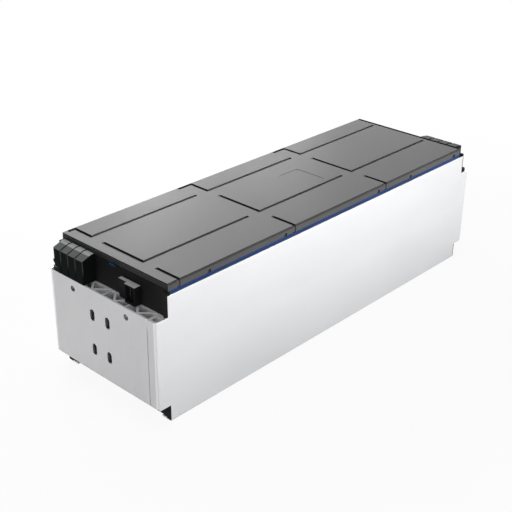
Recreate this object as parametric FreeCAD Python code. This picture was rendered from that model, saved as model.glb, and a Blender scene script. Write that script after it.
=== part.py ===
import FreeCAD, Part
import math
import os

# Sodium-ion battery module: ten prismatic cells in a welded aluminium frame, two in parallel and
# five groups in series. Millimetres. X runs along the stack, Y across it, +Z is up. The origin is
# the centre of the underside. The front end, at -X, carries the signal connector. Right is -Y.

# cells
cell_thickness = 50.0
cell_width = 160.0
can_height = 115.0
can_corner_radius = 4.0
terminal_height = 3.0
terminal_length = 26.0
terminal_width = 30.0
terminal_side_distance = 30.0
vent_length = 30.0
vent_width = 14.0
vent_chamfer = 4.0
vent_depth = 0.6
cells_in_parallel = 2
groups_in_series = 5
pad_thickness = 0.5
pad_margin = 2.0

# frame
end_plate_thickness = 16.0
end_plate_rise = 2.6
end_plate_bottom = 20.0
end_plate_corner_radius = 3.0
end_insulator_thickness = 2.0
busbar_window_clearance = 1.0
insulator_lip = 0.8
insulator_lip_gap = 0.2
side_plate_thickness = 2.0
side_plate_rise = 27.6
side_plate_bend_radius = 2.5
side_tab_length = 14.5
side_tab_rise = 1.5
flange_width = 14.0
side_film_thickness = 0.6
side_gap = 0.2
bottom_film_thickness = 0.4

# end plate section and holes
front_wall = 2.2
back_wall = 2.2
rib_thickness = 2.2
rib_bays = 4
end_block_width = 11.8
web_thickness = 2.4
web_angle = 45.0
mount_hole_diameter = 7.0
mount_hole_setback = 6.0
mount_hole_side_distance = 8.0
index_hole_diameter = 6.8
index_hole_spacing = 84.0
index_hole_drop = 10.5
slot_width = 7.0
slot_height = 13.6
slot_depth = 3.8
slot_spacing_across = 24.0
slot_spacing_up = 41.0
upper_slot_drop = 30.0
hole_pattern_offset = 5.0
score_line_distance = 14.7
score_line_width = 1.0
score_line_depth = 0.4

# top cover
cover_rise = 39.6
cover_wall = 2.0
skirt_wall = 1.5
cover_side_inset = 1.9
cover_front_inset = 0.5
cover_rear_inset = 4.0
cover_edge_chamfer = 0.5
cover_corner_radius = 1.2
long_skirt_height = 8.5
end_skirt_height = 6.5
groove_width = 4.0
groove_depth = 2.4
groove_wall = 1.4
groove_end_inset = 13.25
groove_inner_x = 91.0
groove_middle_x = 71.0
groove_side_y = 51.0
groove_centre_y = 30.0
groove_rim = 0.8
groove_hook_length = 18.0
skirt_line_drop = 1.2
skirt_line_height = 1.0
skirt_line_depth = 0.7
label_recess_length = 34.0
label_recess_width = 44.0
label_recess_depth = 0.25
label_recess_radius = 3.0
label_recess_x = 34.0
snap_rear_distances = (448.25, 335.25, 172.25, 108.25, 14.25)
snap_width = 4.0
snap_height = 3.4
snap_tip_recess = 1.0
cover_rib_y = 23.0
cover_rib_wall = 1.6
cover_rib_depth = 6.0

# busbar tray
tray_floor = 1.6
tray_rim_wall = 1.8
tray_rail_width = 14.0
tray_cross_wall = 1.6
tray_cross_height = 10.0
tray_window_clearance = 1.5
seat_gap = 0.3

# busbars and sampling
busbar_thickness = 2.0
busbar_overhang = 2.0
bend_half_base = 5.0
bend_half_top = 2.0
bend_height = 5.0
output_busbar_rise = 11.0
output_busbar_end_setback = 0.6
flex_thickness = 0.3
flex_trunk_width = 12.0
flex_arm_width = 7.0
flex_arm_offset = 7.0
flex_arm_overlap = 8.0
sensor_size = (4.0, 2.5, 1.2)

# terminal bases and covers
terminal_base_width = 36.0
base_foot_height = 4.5
base_foot_length = 11.6
base_foot_reach = 5.7
base_foot_radius = 4.0
base_foot_hole_diameter = 8.0
base_well_floor = 1.0
nut_across_flats = 10.0
nut_height = 5.0
nut_bore_diameter = 5.0
lobe_corner_radius = 1.3
lobe_split_depth = 1.0
cap_wall = 1.2
cap_slope_length = 12.0
front_cap_width = 48.2
front_lobe_count = 4
front_cap_side_distance = 7.0
front_cap_drop = 10.0
front_cap_rise = 4.3
front_wing_width = 5.6
front_wing_lift = 7.0
front_catch_radius = 3.0
front_catch_height = 4.0
front_catch_length = 6.0
rear_cap_width = 53.6
rear_lobe_count = 4
rear_cap_side_distance = 12.4
rear_cap_drop = 4.5
rear_cap_rise = 2.2

# signal connector
connector_y = -35.0
connector_width = 15.4
connector_height = 21.0
connector_setback = 7.7
connector_arm_width = 13.0
connector_arm_depth = 4.6
connector_wall = 1.5
connector_socket_depth = 6.0
connector_socket_radius = 1.0
connector_neck_height = 6.0
pin_count = 7
pin_size = 0.64
pin_pitch = 2.0
pin_length = 4.5

# how far a cut runs past the face it goes through, and how far joined solids overlap
overshoot = 1.0
tolerance = 1e-6

# worked out from the sizes above
cell_count = cells_in_parallel * groups_in_series
cell_pitch = cell_thickness + pad_thickness
stack_length = cell_count * cell_thickness + (cell_count - 1) * pad_thickness
half_stack = stack_length / 2.0
half_length = half_stack + end_insulator_thickness + end_plate_thickness
half_width = cell_width / 2.0 + side_film_thickness + 2.0 * side_gap + side_plate_thickness
inner_half_width = half_width - side_plate_thickness
cell_floor = side_plate_thickness + bottom_film_thickness
lid_top = cell_floor + can_height
terminal_top = lid_top + terminal_height
busbar_top = terminal_top + busbar_thickness
end_plate_top = lid_top + end_plate_rise
end_plate_height = end_plate_top - end_plate_bottom
rib_pitch = 2.0 * (inner_half_width - end_block_width) / rib_bays
side_plate_top = lid_top + side_plate_rise
side_tab_top = end_plate_top + side_tab_rise
cover_top = lid_top + cover_rise
cover_inner_top = cover_top - cover_wall
bead_bottom = cover_top - groove_depth - groove_wall
insulator_front_x = -half_length + end_plate_thickness
insulator_back_x = insulator_front_x + end_insulator_thickness
cover_front_x = insulator_front_x + cover_front_inset
cover_rear_x = -insulator_front_x - cover_rear_inset
half_cover = half_width - cover_side_inset
groove_outer_x = half_stack - groove_end_inset
long_skirt_bottom = cover_top - long_skirt_height
end_skirt_bottom = cover_top - end_skirt_height
terminal_y = cell_width / 2.0 - terminal_side_distance
mount_y = half_width - mount_hole_side_distance
rail_outer_y = terminal_y - terminal_width / 2.0 - tray_window_clearance
rail_inner_y = rail_outer_y - tray_rail_width
trunk_y = -(rail_inner_y + rail_outer_y) / 2.0
output_busbar_bottom = terminal_top + output_busbar_rise
front_cap_outer_y = half_width - front_cap_side_distance
rear_cap_outer_y = half_width - rear_cap_side_distance
front_wing_bottom = end_plate_top + front_wing_lift
tray_front_x = cover_front_x + skirt_wall + seat_gap
tray_rear_x = cover_rear_x - skirt_wall - seat_gap
base_front_x = -half_length + lobe_corner_radius + cap_wall + seat_gap
nut_x = (base_front_x + insulator_front_x) / 2.0
mount_x = -half_length + mount_hole_setback


def box(x0, x1, y0, y1, z0, z1):
    return Part.makeBox(x1 - x0, y1 - y0, z1 - z0, FreeCAD.Vector(x0, y0, z0))


def polygon_face(points):
    # an outline whose corners meet, such as a V cut short by a rib, keeps each corner once
    corners = []
    for point in points:
        corner = FreeCAD.Vector(*point)
        if all(corner.distanceToPoint(other) > tolerance for other in corners):
            corners.append(corner)
    return Part.Face(Part.makePolygon(corners + corners[:1]))


def prism_along_z(outline, z0, z1):
    face = polygon_face([(x, y, z0) for x, y in outline])
    return face.extrude(FreeCAD.Vector(0, 0, z1 - z0))


def prism_along_y(outline, y0, y1):
    face = polygon_face([(x, y0, z) for x, z in outline])
    return face.extrude(FreeCAD.Vector(0, y1 - y0, 0))


def edges_along(shape, axis):
    found = []
    for edge in shape.Edges:
        if len(edge.Vertexes) != 2:
            continue
        step = edge.Vertexes[1].Point - edge.Vertexes[0].Point
        if step.Length > 0 and abs(abs(step.dot(axis)) - step.Length) < tolerance:
            found.append(edge)
    return found


def rounded_box(x0, x1, y0, y1, z0, z1, radius):
    body = box(x0, x1, y0, y1, z0, z1)
    return body.makeFillet(radius, edges_along(body, FreeCAD.Vector(0, 0, 1)))


def cylinder(x, y, z, radius, length, axis=(0, 0, 1)):
    return Part.makeCylinder(radius, length, FreeCAD.Vector(x, y, z), FreeCAD.Vector(*axis))


def turned_to_rear(shape):
    # the far end is the near end turned half a turn about the module's vertical axis
    copy = shape.copy()
    copy.rotate(FreeCAD.Vector(0, 0, 0), FreeCAD.Vector(0, 0, 1), 180.0)
    return copy


def cell_x(index):
    return -half_stack + cell_thickness / 2.0 + index * cell_pitch


# cell: one sealed can with its lid, two raised terminals and a vent
def cell(index):
    centre = cell_x(index)
    half = cell_thickness / 2.0
    can = rounded_box(centre - half, centre + half, -cell_width / 2.0, cell_width / 2.0,
                      cell_floor, lid_top, can_corner_radius)
    for side in (-1, 1):
        middle = side * terminal_y
        can = can.fuse(box(centre - terminal_length / 2.0, centre + terminal_length / 2.0,
                           middle - terminal_width / 2.0, middle + terminal_width / 2.0,
                           lid_top - overshoot, terminal_top))
    half_x = vent_width / 2.0
    half_y = vent_length / 2.0
    quarter = [(half_x, half_y - vent_chamfer), (half_x - vent_chamfer, half_y)]
    outline = quarter + [(-x, y) for x, y in reversed(quarter)]
    outline += [(-x, -y) for x, y in outline]
    vent = prism_along_z([(centre + x, y) for x, y in outline], lid_top - vent_depth, lid_top + overshoot)
    return can.cut(vent)


def cell_pad(index):
    start = cell_x(index) + cell_thickness / 2.0
    reach = cell_width / 2.0 - pad_margin
    return box(start, start + pad_thickness, -reach, reach, cell_floor + pad_margin, lid_top - pad_margin)


# end plate: an upright extrusion, two walls joined by straight ribs with a V of webs between each pair
def chamber(outline):
    return prism_along_z(outline, end_plate_bottom - overshoot, end_plate_top + overshoot)


def bay_chambers(rib_y):
    # the V stands with its point on the front wall, halfway between this rib and the next
    inner_front = -half_length + front_wall
    inner_back = -half_length + end_plate_thickness - back_wall
    slope = math.tan(math.radians(web_angle))
    offset = web_thickness / 2.0 / math.cos(math.radians(web_angle))
    point_y = rib_y + rib_pitch / 2.0
    spread = (inner_back - inner_front) * slope - offset
    chambers = [chamber([(inner_front + offset / slope, point_y), (inner_back, point_y + spread),
                         (inner_back, point_y - spread)])]
    room = rib_pitch / 2.0 - rib_thickness / 2.0 - offset
    reach = min(inner_back - inner_front, room / slope)
    for side in (-1, 1):
        rib_face = point_y + side * (rib_pitch - rib_thickness) / 2.0
        web_start = point_y + side * offset
        web_end = web_start + side * reach * slope
        chambers.append(chamber([(inner_front, web_start), (inner_front, rib_face),
                                 (inner_front + reach, rib_face), (inner_front + reach, web_end)]))
    return chambers


def end_plate():
    front = -half_length
    back = front + end_plate_thickness
    plate = box(front, back, -inner_half_width, inner_half_width, end_plate_bottom, end_plate_top)
    front_edges = [edge for edge in edges_along(plate, FreeCAD.Vector(0, 0, 1))
                   if abs(edge.Vertexes[0].X - front) < tolerance]
    plate = plate.makeFillet(end_plate_corner_radius, front_edges)
    score = -half_width + score_line_distance
    cuts = [box(front - overshoot, front + score_line_depth, score - score_line_width / 2.0,
                score + score_line_width / 2.0, end_plate_bottom - overshoot, end_plate_top + overshoot)]
    for bay in range(rib_bays):
        cuts += bay_chambers((bay - rib_bays / 2.0) * rib_pitch)
    for side in (-1, 1):
        cuts.append(cylinder(mount_x, side * mount_y, end_plate_bottom - overshoot,
                             mount_hole_diameter / 2.0, end_plate_height + 2.0 * overshoot))
        cuts.append(cylinder(front - overshoot, hole_pattern_offset + side * index_hole_spacing / 2.0,
                             end_plate_top - index_hole_drop, index_hole_diameter / 2.0,
                             slot_depth + overshoot, (1, 0, 0)))
        for row in (0, 1):
            middle = end_plate_top - upper_slot_drop - row * slot_spacing_up
            cuts.append(wall_slot(hole_pattern_offset + side * slot_spacing_across / 2.0, middle))
    return plate.cut(Part.makeCompound(cuts))


def wall_slot(y, z):
    straight = (slot_height - slot_width) / 2.0
    start = -half_length - overshoot
    depth = slot_depth + overshoot
    slot = box(start, start + depth, y - slot_width / 2.0, y + slot_width / 2.0, z - straight, z + straight)
    for side in (-1, 1):
        slot = slot.fuse(cylinder(start, y, z + side * straight, slot_width / 2.0, depth, (1, 0, 0)))
    return slot.removeSplitter()


# side plate: a folded sheet with a foot under the cells and a welded tab at each end plate
def side_plate():
    body_end = half_length - side_tab_length
    half_outline = [(body_end, 0.0), (body_end, end_plate_bottom), (half_length, end_plate_bottom),
                    (half_length, side_tab_top), (body_end, side_tab_top), (body_end, side_plate_top)]
    outline = half_outline + [(-x, z) for x, z in reversed(half_outline)]
    wall = prism_along_y(outline, -half_width, -inner_half_width)
    foot = box(-body_end, body_end, -half_width, -half_width + flange_width, 0.0, side_plate_thickness)
    sheet = wall.fuse(foot).removeSplitter()
    bend = [edge for edge in edges_along(sheet, FreeCAD.Vector(1, 0, 0))
            if abs(edge.Vertexes[0].Y + half_width) < tolerance and abs(edge.Vertexes[0].Z) < tolerance]
    return sheet.makeFillet(side_plate_bend_radius, bend)


def side_film():
    outer = -inner_half_width + side_gap
    return box(-half_stack, half_stack, outer, outer + side_film_thickness,
               side_plate_thickness, long_skirt_bottom - seat_gap)


def bottom_film():
    reach = cell_width / 2.0
    return box(-half_stack, half_stack, -reach, reach, side_plate_thickness, cell_floor)


# end insulator: an upright plastic wall between the end plate and the first cell, with a lip at each
# side that hooks round the side plate's cut edge above and below the tab
def insulator_lips(reach):
    wall_front = -half_length + side_tab_length - insulator_lip_gap
    lip_front = wall_front - insulator_lip
    top = long_skirt_bottom - seat_gap
    over_plate = side_plate_top + insulator_lip_gap
    lips = []
    for side in (-1, 1):
        inner = side * (reach - end_insulator_thickness)
        beside_plate = side * (inner_half_width - insulator_lip_gap)
        outer = side * half_width
        for z0, hook_z0, z1 in ((side_plate_thickness, side_plate_thickness, end_plate_bottom - seat_gap),
                                (end_plate_top + seat_gap, side_tab_top + seat_gap, top)):
            lips.append(box(lip_front, insulator_back_x, min(inner, beside_plate), max(inner, beside_plate),
                            z0, z1))
            lips.append(box(lip_front, wall_front, min(inner, outer), max(inner, outer), hook_z0, z1))
        lips.append(box(lip_front, insulator_back_x, min(inner, outer), max(inner, outer), over_plate, top))
    return lips


def end_insulator(with_connector):
    reach = half_cover - skirt_wall - seat_gap
    wall = box(insulator_front_x, insulator_back_x, -reach, reach, side_plate_thickness,
               end_skirt_bottom - seat_gap)
    busbar_half = terminal_width / 2.0 + busbar_window_clearance
    window = box(insulator_front_x - overshoot, insulator_back_x + overshoot, terminal_y - busbar_half,
                 terminal_y + busbar_half, output_busbar_bottom - seat_gap,
                 output_busbar_bottom + busbar_thickness + seat_gap)
    wall = wall.multiFuse(insulator_lips(reach)).cut(window)
    if with_connector:
        half = connector_neck_half_width() + seat_gap
        z0, z1 = connector_neck_heights()
        wall = wall.cut(box(insulator_front_x - overshoot, insulator_back_x + overshoot, connector_y - half,
                            connector_y + half, z0 - seat_gap, z1 + seat_gap))
    return wall.removeSplitter()


# busbar tray: carrier on the cell lids, with a rim for the cover and windows for terminals and vents
def busbar_tray():
    rim_outer = half_cover - skirt_wall - seat_gap
    rim_top = bead_bottom - seat_gap
    front = tray_front_x
    rear = tray_rear_x
    plate = box(front, rear, -rim_outer, rim_outer, lid_top, lid_top + tray_floor)
    walls = []
    for side in (-1, 1):
        edge = side * (rim_outer - tray_rim_wall / 2.0)
        walls.append(box(front, rear, edge - tray_rim_wall / 2.0, edge + tray_rim_wall / 2.0,
                         lid_top, rim_top))
        rail = side * (rail_inner_y + rail_outer_y) / 2.0
        walls.append(box(front, rear, rail - tray_rail_width / 2.0, rail + tray_rail_width / 2.0,
                         lid_top, busbar_top))
        for centre in snap_places(side):
            tip = side * (half_cover - snap_tip_recess)
            walls.append(box(centre - snap_width / 2.0 + seat_gap, centre + snap_width / 2.0 - seat_gap,
                             min(tip, edge), max(tip, edge), long_skirt_bottom,
                             long_skirt_bottom + snap_height - seat_gap))
    for index in range(cell_count):
        for side in (-1, 1):
            if joined_to_next(index, side):
                continue
            wall_x = cell_x(index) + cell_pitch / 2.0
            if wall_x + tray_cross_wall > rear:
                continue
            y0, y1 = sorted((side * rail_outer_y, side * rim_outer))
            walls.append(box(wall_x - tray_cross_wall / 2.0, wall_x + tray_cross_wall / 2.0, y0, y1,
                             lid_top, lid_top + tray_cross_height))
    tray = plate.multiFuse(walls)
    windows = []
    reach_x = terminal_length / 2.0 + tray_window_clearance
    reach_y = terminal_width / 2.0 + tray_window_clearance
    for index in range(cell_count):
        x = cell_x(index)
        for side in (-1, 1):
            windows.append(box(x - reach_x, x + reach_x, side * terminal_y - reach_y,
                               side * terminal_y + reach_y, lid_top - overshoot,
                               lid_top + tray_floor + overshoot))
        windows.append(box(x - vent_width, x + vent_width, -rail_inner_y, rail_inner_y,
                           lid_top - overshoot, lid_top + tray_floor + overshoot))
    return tray.cut(Part.makeCompound(windows)).removeSplitter()


def snap_places(side):
    # the left side's snaps are the right side's turned half a turn
    return [-side * (cover_rear_x - distance) for distance in snap_rear_distances]


def joined_to_next(index, side):
    # two cells of one group share a bar, and on alternate sides so do neighbouring groups
    group = index // cells_in_parallel
    if (index + 1) // cells_in_parallel == group:
        return True
    if group + 1 >= groups_in_series:
        return False
    return side == series_side(group)


def series_side(group):
    return -1 if group % 2 == 0 else 1


# busbars: bent strips welded on the terminals, with a raised bend between each pair of cells
def bend_outline(middle, half_base, half_top, low, high):
    return [(middle - half_base, low), (middle - half_top, high), (middle + half_top, high),
            (middle + half_base, low)]


def busbar_strip(first, last):
    reach = terminal_length / 2.0 + busbar_overhang
    width = terminal_width / 2.0
    low = terminal_top
    start = cell_x(first) - reach
    end = cell_x(last) + reach
    strip = box(start, end, -width, width, low, busbar_top)
    bends = []
    for step in range(last - first):
        middle = cell_x(first + step) + cell_pitch / 2.0
        outer = bend_outline(middle, bend_half_base + busbar_thickness, bend_half_top + busbar_thickness,
                             low, low + bend_height + busbar_thickness)
        strip = strip.fuse(prism_along_y(outer, -width, width))
        inner = bend_outline(middle, bend_half_base, bend_half_top, low, low + bend_height)
        bends.append(prism_along_y(inner, -width - overshoot, width + overshoot))
        bends.append(box(middle - bend_half_base, middle + bend_half_base, -width - overshoot,
                         width + overshoot, low - overshoot, low))
    return strip.cut(Part.makeCompound(bends)).removeSplitter()


def series_busbar(group):
    first = group * cells_in_parallel
    last = first + 2 * cells_in_parallel - 1
    strip = busbar_strip(first, last)
    strip.translate(FreeCAD.Vector(0, series_side(group) * terminal_y, 0))
    return strip


def output_busbar():
    # front end: it rises behind the end insulator and comes forward over the terminal base
    last = cells_in_parallel - 1
    strip = busbar_strip(0, last)
    width = terminal_width / 2.0
    rise_x = insulator_back_x + seat_gap
    strip_start = cell_x(0) - terminal_length / 2.0 - busbar_overhang
    floor = box(rise_x, strip_start + overshoot, -width, width, terminal_top, busbar_top)
    riser = box(rise_x, rise_x + busbar_thickness, -width, width, terminal_top,
                output_busbar_bottom + busbar_thickness)
    tongue = box(base_front_x + output_busbar_end_setback, rise_x + busbar_thickness, -width, width,
                 output_busbar_bottom, output_busbar_bottom + busbar_thickness)
    hole = cylinder(nut_x, 0.0, output_busbar_bottom - overshoot, nut_bore_diameter / 2.0 + seat_gap,
                    busbar_thickness + 2.0 * overshoot)
    bar = strip.multiFuse([floor, riser, tongue]).removeSplitter().cut(hole)
    bar.translate(FreeCAD.Vector(0, terminal_y, 0))
    return bar


# terminal base: plastic block with a captive nut, and a foot held down round the mounting hole
def terminal_base():
    half = terminal_base_width / 2.0
    block = box(base_front_x, insulator_front_x, terminal_y - half, terminal_y + half,
                end_plate_top, output_busbar_bottom)
    foot_top = end_plate_top + base_foot_height
    foot_end = mount_y + base_foot_reach
    foot = rounded_box(mount_x - base_foot_length / 2.0, mount_x + base_foot_length / 2.0,
                       front_cap_outer_y - front_wing_width + seat_gap, foot_end, end_plate_top, foot_top,
                       base_foot_radius)
    neck = box(base_front_x, mount_x + base_foot_length / 2.0 - base_foot_radius,
               terminal_y + half - overshoot, mount_y, end_plate_top, foot_top)
    block = block.fuse(neck).fuse(foot).removeSplitter()
    pocket = hexagon(nut_x, terminal_y, output_busbar_bottom - nut_height, nut_height, nut_across_flats)
    well = cylinder(nut_x, terminal_y, end_plate_top + base_well_floor, nut_bore_diameter / 2.0,
                    output_busbar_bottom - end_plate_top)
    hole = cylinder(mount_x, mount_y, end_plate_top - overshoot, base_foot_hole_diameter / 2.0,
                    base_foot_height + 2.0 * overshoot)
    return block.cut(pocket).cut(well).cut(hole)


def hexagon(x, y, z, height, across_flats):
    radius = across_flats / math.sqrt(3.0)
    angles = [math.radians(60.0 * corner + 30.0) for corner in range(6)]
    outline = [(x + radius * math.cos(angle), y + radius * math.sin(angle)) for angle in angles]
    return prism_along_z(outline, z, z + height)


def terminal_nut():
    bottom = output_busbar_bottom - nut_height
    nut = hexagon(nut_x, terminal_y, bottom, nut_height, nut_across_flats)
    return nut.cut(cylinder(nut_x, terminal_y, bottom - overshoot, nut_bore_diameter / 2.0,
                            nut_height + 2.0 * overshoot))


# terminal covers: thin caps of rounded lobes that snap over the base and the busbar's end
def lobe_edges(inner_y, outer_y, count):
    return [inner_y + step * (outer_y - inner_y) / count for step in range(count + 1)]


def cap_roof(front_top, rise):
    front = -half_length
    flat_start = front + cap_slope_length
    before = front - overshoot
    back = insulator_front_x + overshoot
    above = front_top + rise + lobe_split_depth + overshoot
    outline = [(before, front_top), (front, front_top), (flat_start, front_top + rise),
               (back, front_top + rise), (back, above), (before, above)]
    return prism_along_y(outline, -overshoot, half_width + overshoot)


def lobe(y0, y1, z0, top):
    # plan of one lobe: rounded front corners and a square back
    block = box(-half_length, insulator_front_x - seat_gap, y0, y1, z0, top)
    front_edges = [edge for edge in edges_along(block, FreeCAD.Vector(0, 0, 1))
                   if abs(edge.Vertexes[0].X + half_length) < tolerance]
    return block.makeFillet(lobe_corner_radius, front_edges)


def terminal_cap(width, outer_y, lobe_count, wing_width, drop, rise):
    # the wing is the solid outer part of the last lobe, beyond the cap's own side wall
    inner_y = outer_y - width
    body_y = outer_y - wing_width
    bottom = end_plate_top + seat_gap
    front_top = cover_top - drop
    top = front_top + rise
    edges = lobe_edges(inner_y, outer_y, lobe_count)
    lobes = [lobe(y0, y1, bottom, top) for y0, y1 in zip(edges, edges[1:])]
    cap = lobes[0].multiFuse(lobes[1:]).removeSplitter().cut(cap_roof(front_top, rise))
    cavity_front = -half_length + lobe_corner_radius + cap_wall
    roof_wall = cap_wall + lobe_split_depth
    cavity = box(cavity_front, insulator_front_x + overshoot, inner_y + cap_wall, body_y - cap_wall,
                 bottom - overshoot, top - roof_wall)
    lowered_roof = cap_roof(front_top, rise)
    lowered_roof.translate(FreeCAD.Vector(0, 0, -roof_wall))
    cap = cap.cut(cavity.cut(lowered_roof))
    for y in edges[1:-1]:
        strip = box(-half_length - 2.0 * overshoot, insulator_front_x + 2.0 * overshoot,
                    y - lobe_split_depth, y + lobe_split_depth, bottom,
                    top + lobe_split_depth + overshoot)
        split = cap_roof(front_top, rise).common(strip)
        split.translate(FreeCAD.Vector(0, 0, -lobe_split_depth))
        cap = cap.cut(split)
    foot_gap = box(mount_x - base_foot_length / 2.0, insulator_front_x + overshoot,
                   body_y - 2.0 * cap_wall, outer_y + overshoot, bottom - overshoot,
                   end_plate_top + base_foot_height + seat_gap)
    return cap.cut(foot_gap)


def front_terminal_cover():
    outer = front_cap_outer_y
    cap = terminal_cap(front_cap_width, outer, front_lobe_count, front_wing_width, front_cap_drop,
                       front_cap_rise)
    below_wing = box(-half_length - overshoot, insulator_front_x + overshoot, outer - front_wing_width,
                     outer + overshoot, end_plate_top - overshoot, front_wing_bottom)
    catch = cylinder(-half_length + lobe_corner_radius, outer, front_wing_bottom + front_catch_height,
                     front_catch_radius, front_catch_length, (1, 0, 0))
    return cap.cut(below_wing).fuse(catch).removeSplitter()


def rear_terminal_cover():
    return turned_to_rear(terminal_cap(rear_cap_width, rear_cap_outer_y, rear_lobe_count, 0.0,
                                       rear_cap_drop, rear_cap_rise))


# signal connector: header on the end plate, open towards the front, with a neck through the wall
def connector_neck_half_width():
    return connector_width / 2.0 - connector_wall


def connector_neck_heights():
    base = end_plate_top + (connector_height - connector_neck_height) / 2.0
    return base, base + connector_neck_height


def signal_connector():
    front = -half_length + connector_setback
    half = connector_width / 2.0
    top = end_plate_top + connector_height
    body = box(front, insulator_front_x, connector_y - half, connector_y + half, end_plate_top, top)
    arm = box(insulator_front_x - connector_arm_depth, insulator_front_x, connector_y + half,
              connector_y + half + connector_arm_width, end_plate_top, top)
    z0, z1 = connector_neck_heights()
    neck_half = connector_neck_half_width()
    neck = box(insulator_front_x, insulator_back_x, connector_y - neck_half, connector_y + neck_half, z0, z1)
    shape = body.multiFuse([arm, neck]).removeSplitter()
    socket = rounded_x_box(front - overshoot, front + connector_socket_depth,
                           connector_y - half + connector_wall, connector_y + half - connector_wall,
                           end_plate_top + 2.0 * connector_wall, top - connector_wall,
                           connector_socket_radius)
    return shape.cut(socket)


def rounded_x_box(x0, x1, y0, y1, z0, z1, radius):
    body = box(x0, x1, y0, y1, z0, z1)
    return body.makeFillet(radius, edges_along(body, FreeCAD.Vector(1, 0, 0)))


def connector_pins():
    back = -half_length + connector_setback + connector_socket_depth
    middle = end_plate_top + (connector_height + connector_wall) / 2.0
    half = pin_size / 2.0
    pins = []
    for step in range(pin_count):
        z = middle + (step - (pin_count - 1) / 2.0) * pin_pitch
        pins.append(box(back - pin_length, back, connector_y - half, connector_y + half, z - half, z + half))
    return Part.makeCompound(pins)


# sampling flex: a flat printed cable on the tray's rail, with an arm welded to every busbar
def sampling_flex():
    z0 = busbar_top
    z1 = z0 + flex_thickness
    half = flex_trunk_width / 2.0
    start = insulator_back_x + seat_gap
    end = cell_x(cell_count - 1)
    pieces = [box(start, end, trunk_y - half, trunk_y + half, z0, z1)]
    for group in range(groups_in_series + 1):
        index = max(0, group * cells_in_parallel - 1)
        side = 1 if group == 0 else series_side(group - 1)
        x = cell_x(index) if group else cell_x(0)
        if group == groups_in_series:
            side = -1
        tip = side * (terminal_y - terminal_width / 2.0 + flex_arm_overlap)
        y0, y1 = sorted((trunk_y, tip))
        arm_start = x - flex_arm_offset - flex_arm_width / 2.0
        pieces.append(box(arm_start, arm_start + flex_arm_width, y0, y1, z0, z1))
    z_neck = connector_neck_heights()[1]
    pieces.append(box(insulator_back_x, insulator_back_x + seat_gap, connector_y - half,
                      trunk_y + half, z0, z_neck))
    return pieces[0].multiFuse(pieces[1:]).removeSplitter()


def temperature_sensors():
    length, width, height = sensor_size
    z = busbar_top + flex_thickness
    beads = []
    for index in (1, cell_count - 2):
        x = cell_x(index)
        beads.append(box(x - length / 2.0, x + length / 2.0, trunk_y - width / 2.0, trunk_y + width / 2.0,
                         z, z + height))
    return Part.makeCompound(beads)


# top cover: a shallow lid with skirts, three bays of grooves with beads under them, and two long ribs
def bay_runs(start, end):
    edge = half_cover - groove_rim - groove_width / 2.0
    hook = max(start - groove_hook_length, cover_front_x + 2.0 * groove_width)
    return [(hook, edge, start, edge), (start, edge, start, groove_side_y),
            (start, groove_side_y, end, groove_side_y), (start, groove_centre_y, start, -groove_centre_y),
            (start, -groove_centre_y, end, -groove_centre_y),
            (start, -groove_side_y, start, -half_cover - overshoot)]


def groove_runs():
    rear = cover_rear_x - groove_rim - groove_width / 2.0
    side = half_cover - groove_rim - groove_width / 2.0
    runs = [(rear, side, rear, -side)]
    for start, end in ((-groove_outer_x, -groove_inner_x), (-groove_middle_x, groove_middle_x),
                       (groove_inner_x, groove_outer_x)):
        runs += bay_runs(start, end)
    return runs


def run_box(run, margin, z0, z1):
    x0, y0, x1, y1 = run
    half = groove_width / 2.0 + margin
    return box(min(x0, x1) - half, max(x0, x1) + half, min(y0, y1) - half, max(y0, y1) + half, z0, z1)


def skirt_line():
    # a shadow line round the skirt, just under the lid's edge
    top = cover_top - skirt_line_drop
    bottom = top - skirt_line_height
    inner = box(cover_front_x + skirt_line_depth, cover_rear_x - skirt_line_depth,
                -half_cover + skirt_line_depth, half_cover - skirt_line_depth, bottom, top)
    outer = box(cover_front_x - overshoot, cover_rear_x + overshoot, -half_cover - overshoot,
                half_cover + overshoot, bottom, top)
    return outer.cut(inner)


def corner_edges(shell):
    return [edge for edge in edges_along(shell, FreeCAD.Vector(0, 0, 1))
            if abs(abs(edge.Vertexes[0].Y) - half_cover) < tolerance]


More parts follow.
